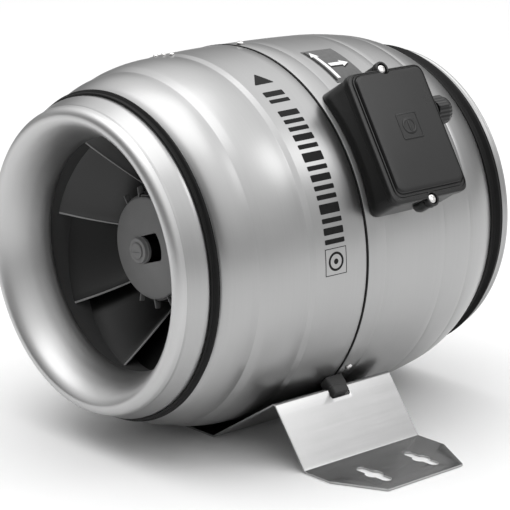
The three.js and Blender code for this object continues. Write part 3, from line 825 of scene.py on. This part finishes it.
def cover_loop(out, share, corner):
    """A loop between the cover's edge (share 0) and the foot of its raised panel (share 1)."""
    return box_loop(out, 9 * share, 3.2 * share, corner)


def upright(bm, out, along, around):
    """Stands a mesh made along Y up on the box, along X."""
    return mapped(bm, lambda p: Vector((out + p.y, along + p.x, around + p.z)))


def make_cover():
    """A shallow lid: rounded skirt, a rim with a groove, and a raised panel with soft edges."""
    skirt = (
        (COVER_UNDER + 3.2, 5.0, 7.5), (COVER_UNDER, 5.0, 7.5), (COVER_UNDER, 0.4, 11.0),
        (COVER_UNDER + 0.4, 0.0, 11.0), (COVER_RIM - 1.6, 0.0, 11.0), (COVER_RIM - 0.7, 0.25, 11.0),
        (COVER_RIM - 0.15, 0.9, 10.6),
    )
    rim = (
        (COVER_RIM, 0.22, 10.4), (COVER_RIM, 0.40, 10.2), (COVER_RIM - 0.9, 0.46, 10.0),
        (COVER_RIM - 0.9, 0.62, 9.8), (COVER_RIM + 0.1, 0.68, 9.6), (COVER_RIM + 0.1, 0.80, 9.4),
        (COVER_RIM - 0.9, 0.86, 9.2), (COVER_RIM - 0.9, 0.94, 9.1),
    )
    panel = (
        (COVER_RIM + 0.9, 1.02, 9.0), (COVER_TOP - 0.35, 1.08, 9.0), (COVER_TOP - 0.1, 1.2, 9.0),
        (COVER_TOP, 1.5, 8.6),
    )
    lid = lofted([even_loop(*row) for row in skirt] + [cover_loop(*row) for row in rim + panel])
    for _, around in COVER_LUGS:
        post = [
            (COVER_UNDER, 0.0), (COVER_UNDER, 6.8), (COVER_UNDER + 0.6, 7.4), (COVER_RIM - 1.2, 7.4),
            (COVER_RIM - 0.5, 6.9), (COVER_RIM - 0.4, 0.0),
        ]
        lid = boolean(lid, upright(spun(post, 48, closed=False), 0, BOX_MIDDLE, around), "UNION")
    for _, around in COVER_LUGS:
        sink = [
            (COVER_RIM - 3.6, 0.0), (COVER_RIM - 3.6, 5.3), (COVER_RIM - 0.9, 5.4),
            (COVER_TOP + 1, 6.6), (COVER_TOP + 1, 0.0),
        ]
        lid = boolean(lid, upright(spun(sink, 48, closed=False), 0, BOX_MIDDLE, around))
    piece("box_lid", lid, box_plastic, "terminal_box_cover", place=BOXED, sharp=28)


def make_base():
    """The box under the lid, cut to the casing's curve, hollow, with a lug at each end."""
    under = 150.0
    over = COVER_UNDER - 1.2
    shell = lofted([
        even_loop(under, 1.2, 10.0),
        even_loop(over - 0.6, 1.2, 10.0),
        even_loop(over, 1.7, 9.6),
    ])
    for _, around in COVER_LUGS:
        foot = COVER_TOP - 26
        post = [(foot, 0.0), (foot, 4.6), (foot + 4, 6.4), (over, 6.4), (over, 0.0)]
        shell = boolean(shell, upright(spun(post, 40, closed=False), 0, BOX_MIDDLE, around), "UNION")
    room = lofted([even_loop(under - 5, 3.7, 8.0), even_loop(over + 5, 3.7, 8.0)])
    shell = boolean(shell, boolean(room, plug(-60, 170, BODY + 3.2)))
    shell = boolean(shell, plug(-60, 170, BODY + 0.7))
    piece("box_body", shell, box_plastic, "terminal_box_base", place=BOXED, sharp=28)


def make_emblem():
    """A plain raised emblem on the panel: a round-cornered square ring around a ring."""
    centre = (BOX_MIDDLE + 4.0, (BOX_LOW + BOX_HIGH) / 2 + 6.0)
    square = [square_outline(13.0, 3.0, 5), square_outline(11.4, 1.8, 5)]
    ring = [circle(8.4), circle(5.6)]
    bar = [rectangle((-1.3, -5.0), (1.3, 5.0), 0.8, 3)]
    whole = merged(*[flat(outlines, 0.5, 0.15, 1) for outlines in (square, ring, bar)])
    mapped(whole, lambda p: Vector((COVER_TOP + 0.05 + p.z, centre[0] + p.x, centre[1] + p.y)))
    piece("box_emblem", whole, box_plastic, place=BOXED)


def make_gland():
    """Cable gland: a flanged body, and a domed nut with six flats and fine grips."""
    place = BOXED @ Matrix.Translation((GLAND_OUT, 0, GLAND_UP))
    wall = BOX_REAR
    body = rounded([
        (wall - 7, 4.6), (wall - 7, 7.5), (wall - 0.8, 7.5), (wall - 0.8, 9.4), (wall + 0.4, 9.4),
        (wall + 0.4, 13), (wall + 4.2, 13), (wall + 4.2, 9), (wall + 19, 9), (wall + 19, 4.6),
    ], 0.4, 3)
    piece("gland_body", spun(body, 64), box_plastic, "cable_gland_body", place=place)
    nut_start = wall + 4.6
    nut = rounded([
        (nut_start, 9.3), (nut_start, 14.2), (nut_start + 0.8, 15), (nut_start + 12.4, 15),
        (nut_start + 17.2, 12.6), (nut_start + 19.4, 9.4), (nut_start + 19.8, 7.4), (nut_start + 17.2, 7.4),
        (nut_start + 16, 9.3),
    ], 0.8, 4)
    made = spun(nut, 120)

    def with_flats(point):
        radius = math.hypot(point.x, point.z)
        angle = math.atan2(point.z, point.x)
        flat_at = 13.6 / cos((angle % (math.pi / 3)) - math.pi / 6)
        ridge = 0.25 * (cos(24 * angle) - 1) if radius > 12.5 else 0.0
        limited = min(radius, flat_at) + ridge if radius > 10.5 else radius
        return Vector((point.x, 0, point.z)) * (limited / radius) + Vector((0, point.y, 0))
    piece("gland_nut", mapped(made, with_flats), box_plastic, "cable_gland_nut", place=place)
    seal = rounded([(wall + 2, 2.4), (wall + 2, 4.3), (wall + 22, 4.3), (wall + 22, 2.4)], 0.5, 3)
    piece("gland_seal", spun(seal, 48), rubber, "cable_gland_seal", place=place)


make_cover()
make_base()
make_emblem()
make_gland()
for end, around in COVER_LUGS:
    seat = facing((1, 0, 0), (COVER_RIM - 3.4, BOX_MIDDLE, around), 0.5)
    place_screw(f"cover_screw_head_{end}", screw(4.6, 2.9), seat, f"cover_screw_{end}", BOXED)


# ---- impeller

HUB_LINE = [(-109.2, 50), (-92, 55), (-68, 65), (-40, 80), (-12, 97.5), (3, 105.5)]
SHROUD_LINE = [(-147, 116.8), (-131, 116.9), (-115, 118.4), (-80, 126), (-42, 141), (-14, 154.5)]
SHROUD_WALL = 1.8
BLADE_COUNT = 8
FIRST_BLADE = 221.5  # where the first blade's front edge leaves the hub
BLADE_FRONTS = (-77.0, -130.3)  # front edge at the hub and at the shroud
BLADE_REARS = (-6.0, -17.0)
BLADE_LEAN = 4.7  # degrees that a blade's front edge leans back from hub to shroud
FIN_ANGLES = (12.4, 36.4, 60.4, 84.4, 108.4, 132.4, 252.4, 276.4, 300.4, 324.4, 348.4)


def line_radius(line, along):
    """The radius of a line of [along, radius] points at a place along the duct."""
    for first, second in zip(line, line[1:]):
        if along <= second[0]:
            share = (along - first[0]) / (second[0] - first[0])
            return first[1] + share * (second[1] - first[1])
    return line[-1][1]


def bent_wall(inner, outer, ends, angle_at, thickness):
    """A thin curved blade or vane between an inner and an outer wall around the duct axis.

    inner and outer give a wall's radius at a place along the duct, ends are the front and rear places at
    each wall, and angle_at gives the angle in degrees at a share of the way back and a share outward.
    """
    rows, steps = 14, 28
    shares = [0.0, 0.0006, 0.0016, 0.0032]
    shares += [(step / steps) ** 1.7 for step in range(2, steps)]
    shares += [0.982, 0.993, 1.0]

    def middle(share, rise):
        alongs = [front + (rear - front) * share for front, rear in ends]
        radius = inner(alongs[0]) * (1 - rise) + outer(alongs[1]) * rise
        return outward(angle_at(share, rise), radius, alongs[0] * (1 - rise) + alongs[1] * rise)

    def face(share, rise, side):
        nudge = 1e-4
        point = middle(share, rise)
        back = middle(share + nudge, rise) - middle(share - nudge, rise)
        out = middle(share, rise + nudge) - middle(share, rise - nudge)
        edge = min(share * 400.0, (1 - share) * 70.0, 1.3) / 1.3
        fullness = max(math.sqrt(1 - (1 - edge) ** 2), 0.1)
        point += back.cross(out).normalized() * (side * fullness * thickness / 2)
        wanted = {0.0: inner(point.y), 1.0: outer(point.y)}.get(rise)
        if wanted:
            radius = math.hypot(point.x, point.z)
            point.x *= wanted / radius
            point.z *= wanted / radius
        return point

    bm = bmesh.new()
    top, under = [
        [[bm.verts.new(face(share, row / rows, side)) for share in shares] for row in range(rows + 1)]
        for side in (1, -1)
    ]
    last = len(shares) - 1
    for row in range(rows):
        for step in range(last):
            for grid in (top, under):
                low, high = grid[row], grid[row + 1]
                bm.faces.new([low[step], low[step + 1], high[step + 1], high[step]])
        for step in (0, last):
            bm.faces.new([top[row][step], top[row + 1][step], under[row + 1][step], under[row][step]])
    for row in (0, rows):
        for step in range(last):
            bm.faces.new([top[row][step], top[row][step + 1], under[row][step + 1], under[row][step]])
    return bm


def make_impeller():
    """Hub, shroud and blades, all moulded in one."""
    hub = smooth_line(HUB_LINE)
    section = walled(hub, SHEET) + [(-106.8, 38), (-109.2, 38)]
    piece("hub_shell", spun(section, ROUND_INSIDE), fan_plastic, "impeller_hub", body=IMPELLER)
    shroud = walled(smooth_line(SHROUD_LINE), SHROUD_WALL)
    piece("shroud_shell", spun(shroud, ROUND_INSIDE), shroud_plastic, "impeller_shroud",
          body=IMPELLER)
    for i in range(BLADE_COUNT):
        first = FIRST_BLADE + i * 360 / BLADE_COUNT
        blade = bent_wall(
            lambda along: line_radius(HUB_LINE, along) - 0.3,
            lambda along: line_radius(SHROUD_LINE, along) - SHROUD_WALL + 0.3,
            tuple(zip(BLADE_FRONTS, BLADE_REARS)),
            lambda share, rise, first=first: first - BLADE_LEAN * rise - 85 * (1 - (1 - share) ** 4),
            2.6,
        )
        piece(f"blade_{i + 1}", blade, fan_plastic, f"impeller_blade_{i + 1}", body=IMPELLER)


def make_highlight_beads():
    """A pale bead along the front edge of each blade, as a painted highlight where the edges catch the
    light.
    """
    steps = 12
    start, end = BLADE_FRONTS
    at_hub = line_radius(HUB_LINE, start)
    at_shroud = line_radius(SHROUD_LINE, end) - SHROUD_WALL
    beads = []
    for i in range(BLADE_COUNT):
        loops = []
        for step in range(steps + 1):
            rise = 0.01 + 0.98 * step / steps
            along = start + (end - start) * rise
            radius = at_hub * (1 - rise) + at_shroud * rise
            turn = FIRST_BLADE + i * 360 / BLADE_COUNT - BLADE_LEAN * rise
            across = outward(turn + 90)
            loops.append([
                outward(turn, radius, along + 1.2 * sin(angle)) + across * (1.25 * cos(angle))
                for angle in (radians(45 * k) for k in range(8))
            ])
        beads.append(lofted(loops))
    # the pale beads are painted highlights along the blades' front edges
    piece("blade_edge_highlight_beads", merged(*beads), highlight_plastic, body=IMPELLER)


def make_fins():
    """Short cooling fins around the hub's front edge, behind the disc."""
    corners = [(46.0, -109.4), (48.6, -110.6), (57.6, -109.8), (58.6, -104.4), (50.0, -103.5)]
    fins = []
    for degrees in FIN_ANGLES:
        fin = flat([rounded(corners, 0.8, 3)], 1.1, 0.25, 1)
        out = outward(degrees)
        side = outward(degrees + 90)
        fins.append(mapped(fin, lambda p, out=out, side=side: out * p.x + Vector((0, p.y, 0)) + side * p.z))
    piece("hub_fins", merged(*fins), hub_plastic, body=IMPELLER)


def make_hub_disc():
    """The shallow cone on the hub, with its boss, a window beside the boss and a soft edge."""
    section = rounded([
        (-119.4, 6.3), (-125.5, 6.3), (-125.5, 11.9), (-122, 12.6), (-112.2, 47.2), (-111.2, 48.4),
        (-109.8, 48.3), (-119.4, 12.6),
    ], [0.3, 0.5, 0.9, 1.6, 0.8, 0.8, 0.3, 0.3], 4)
    window = arc_points((0, 0), 26.5, -12, 47, 12) + arc_points((0, 0), 13.2, 88, -72, 20)
    window = rounded(window, [1.8] + [0.3] * 11 + [1.8] + [1.0] + [0.3] * 19 + [1.0], 3)
    tool = flat([window], 40)
    mapped(tool, lambda p: Vector((p.x, p.z - 108, p.y)))
    disc = boolean(spun(section, ROUND_INSIDE), tool)
    piece("hub_plate", disc, hub_plastic, "hub_disc", body=IMPELLER, sharp=30)
    boss = rounded([(-98, 6.3), (-119.2, 6.3), (-119.2, 10), (-98, 10)], 0.5, 3)
    piece("hub_boss_tube", spun(boss, 64), fan_plastic, body=IMPELLER)
    head = screw(7.9, 1.6, arms=(0.9,), half_slot=1.3)
    head.transform(facing((0, -1, 0), (0, -125.7, 0), 0.15))
    piece("hub_screw_head", head, hub_plastic, "hub_screw", body=IMPELLER,
          sharp=40)


make_impeller()
make_highlight_beads()
make_fins()
make_hub_disc()


# ---- diffuser behind the impeller

DIFFUSER_LINE = [(12.4, 111.5), (50, 110.5), (95, 101), (140, 82), (172, 60), (186.4, 42)]
VANE_COUNT = 6


def make_diffuser():
    """The fixed hub behind the impeller, closed by a flat end, and its guide vanes."""
    outer = smooth_line(DIFFUSER_LINE)
    inner = [(186.2, 0.0), (186.0, 36.0)] + walled(outer, SHEET)[len(outer):]
    section = inner + [(14.6, 84), (12.4, 84)] + outer + [(188.0, 36.0), (188.2, 0.0)]
    piece("diffuser_shell", spun(section, ROUND_INSIDE, closed=False), inner_metal,
          "diffuser_hub")
    casing_inside = [(0, 174.9), (68, 174.2), (108, 172.9), (143, 169)]
    for i in range(VANE_COUNT):
        vane = bent_wall(
            lambda along: line_radius(DIFFUSER_LINE, along) - 0.3,
            lambda along: line_radius(casing_inside, along) - 0.2,
            ((16, 108), (16, 112)),
            lambda share, rise, first=61 + i * 360 / VANE_COUNT: first - 18 * (1 - share) ** 2,
            SHEET,
        )
        piece(f"vane_{i + 1}", vane, inner_metal, f"guide_vane_{i + 1}")


make_diffuser()


# ---- printing and labels

PRINT_ALONG = -38.5
LABEL_ALONG = 58.5
LABEL_ANGLE = 67


def around_casing(bm, degrees, along, radius_at):
    """Lays a flat mesh on the casing: its X runs up around it, its Y along the duct."""
    longest = max(abs(vertex.co.x) for vertex in bm.verts)
    spacing = 2.5
    count = int(longest / spacing) + 1
    sliced(bm, [spacing * i for i in range(-count, count + 1)])

    def wrap(point):
        place = along + point.y
        radius = radius_at(place) + point.z
        return outward(degrees + math.degrees(point.x / radius_at(along)), radius, place)
    return mapped(bm, wrap)


def band_radius(along):
    """Radius of the casing under the print, on the straight band of the front half."""
    share = (along + 60.2) / 57.2
    return 175.4 + (BODY - 175.6) * share + 0.2


def label_radius(along):
    """Radius of the rear half under the label, lifted clear of the bulge."""
    share = (along - 26.4) / 73.4
    return BODY - 0.15 + (175.2 - BODY + 0.15) * share + 0.35 * 4 * share * (1 - share) + 0.15


def make_print():
    """A row of plain bars around the band, with a pointer above it and a square emblem below it."""
    bars = []
    half_height = 11.5
    space = 4.0
    group_space = 6.0
    groups = ((4.5, 6.5, 4.5, 9.0, 4.5, 4.5, 6.5, 4.5, 9.0, 4.5, 6.5, 4.5, 4.5, 6.5), (4.5, 6.5))
    degrees = 8.5
    for widths in groups:
        for width in widths:
            bar = flat([rectangle((-width / 2, -half_height), (width / 2, half_height), 1.0, 3)], 0.1)
            middle = degrees + math.degrees(width / 2 / BODY)
            bars.append(around_casing(bar, middle, PRINT_ALONG, band_radius))
            degrees += math.degrees((width + space) / BODY)
        degrees += math.degrees(group_space / BODY)
    pointer = flat([rounded([(-8, -half_height), (8, 0), (-8, half_height)], 1.0, 3)], 0.1)
    bars.append(around_casing(pointer, degrees + 3.0, PRINT_ALONG, band_radius))
    piece("print_bars", merged(*bars), black_ink)
    square = flat([square_outline(12.5, 0.4, 2), square_outline(11.8, 0.3, 2)], 0.1)
    ring = flat([circle(8.8), circle(6.6)], 0.1)
    dot = flat([circle(2.6, 24)], 0.1)
    parts = [around_casing(part, 3.2, PRINT_ALONG, band_radius) for part in (square, ring, dot)]
    piece("print_emblem", merged(*parts), black_ink)


def arrow(length, shaft, head_length, head_half):
    """An arrow outline that points towards +X, centred on the origin."""
    tail, neck, tip = -length / 2, length / 2 - head_length, length / 2
    return [(tail, -shaft), (neck, -shaft), (neck, -head_half), (tip, 0), (neck, head_half), (neck, shaft),
            (tail, shaft)]


def make_label():
    """Direction label: a grey film with an arrow around the casing and an air-flow arrow along it."""
    def laid(part, lift=0.0):
        return around_casing(part, LABEL_ANGLE, LABEL_ALONG, lambda along: label_radius(along) + lift)

    film = flat([rectangle((-28, -19.5), (28, 19.5), 0.8, 3)], 0.12)
    piece("label_sheet", laid(film), label_film)
    turning = [(x + 1.0, y - 12.0) for x, y in arrow(46, 2.0, 9, 5.0)]
    flowing = [(-1.0 - y, x + 4.5) for x, y in arrow(24, 2.4, 9, 5.2)]
    whites = [laid(flat([outline], 0.1), 0.12) for outline in (turning, flowing)]
    piece("label_arrows", merged(*whites), white_ink)
    edge_bar = flat([rectangle((-25, -18.8), (25, -16.0), 0.5, 2)], 0.1)
    shadow = flat([[(x - 2.4, y - 1.2) for x, y in flowing]], 0.06)
    blacks = [laid(part, 0.09) for part in (edge_bar, shadow)]
    piece("label_shading", merged(*blacks), black_ink)


make_print()
make_label()


# ---- carried-over CAD nodes

SLOT_MATERIALS = dict(
    casing_metal=inner_metal, lip_metal=lip_metal, bracket_metal=bracket_metal, rubber=rubber,
    box_plastic=box_plastic, fan_plastic=fan_plastic, hub_plastic=hub_plastic, screw_steel=screw_steel,
    motor_steel=motor_steel, copper=copper, white_plastic=white_plastic,
)
for subpart in frame["record"]["subparts"]:
    node = frame["nodes"][subpart["node"]]
    node.data.materials.clear()
    node.data.materials.append(SLOT_MATERIALS[subpart["material_slot"]])


# ---- stage

def make_surround():
    """A soft surround: bright overhead, dimmer ahead of the inlet, and dark low down behind the object."""
    world = bpy.data.worlds.new("studio")
    world.use_nodes = True
    nodes = NodeTree(world.node_tree)
    across, along, height = nodes.split(nodes.add("TexCoord").outputs["Generated"])
    soft = "SMOOTHSTEP"
    behind = nodes.maths("SUBTRACT", nodes.times(along, 0.65), nodes.times(across, 0.76))
    overhead = nodes.ramp(height, 0.6, 1.5, 0.1, 0.9, soft)
    low_down = nodes.ramp(height, 1.0, 0.0, 0.2, 0.6, soft)
    dimmed = nodes.times(nodes.ramp(behind, 0.0, 0.65, 0.2, 0.85, soft), low_down)
    ahead = nodes.ramp(along, 0.3, 1.0, -0.8, -0.35, soft)
    strength = nodes.times(nodes.times(overhead, ahead), nodes.maths("SUBTRACT", 1.0, dimmed))
    background = world.node_tree.nodes["Background"]
    nodes.feed(background.inputs["Color"], (1, 1, 1, 1))
    nodes.feed(background.inputs["Strength"], strength)
    return world


def make_stage():
    """A plain pale floor, a soft panel overhead and a smaller one at the side."""
    floor = flat([rectangle((-6, -6), (6, 6), 0.5, 6)], 0.02)
    bmesh.ops.translate(floor, vec=(0, 0, -0.0102), verts=floor.verts)
    ground = linked("floor", floor)
    nodes = Nodes("floor")
    cloud = nodes.noise(nodes.place, 3.0)
    color = nodes.shade(cloud, tint(0.86), tint(0.88))
    ground.data.materials.append(nodes.finish(color, 0.6, 0.0, 0.2))

    bpy.context.scene.world = make_surround()
    target = Vector((0, 0, AXIS_HEIGHT * MM))
    for name, place, size, power in (
        ("overhead", (-0.3, -0.5, 2.6), 2.4, 24.0),
        ("side", (1.26, 1.18, 1.74), 0.75, 3.6),
    ):
        lamp = bpy.data.lights.new(name, "AREA")
        lamp.shape = "SQUARE"
        lamp.size = size
        lamp.energy = power
        holder = bpy.data.objects.new(name, lamp)
        holder.location = place
        holder.rotation_euler = (target - Vector(place)).to_track_quat("-Z", "Y").to_euler()
        bpy.context.scene.collection.objects.link(holder)


make_stage()
bpy.context.scene.view_settings.view_transform = "Standard"
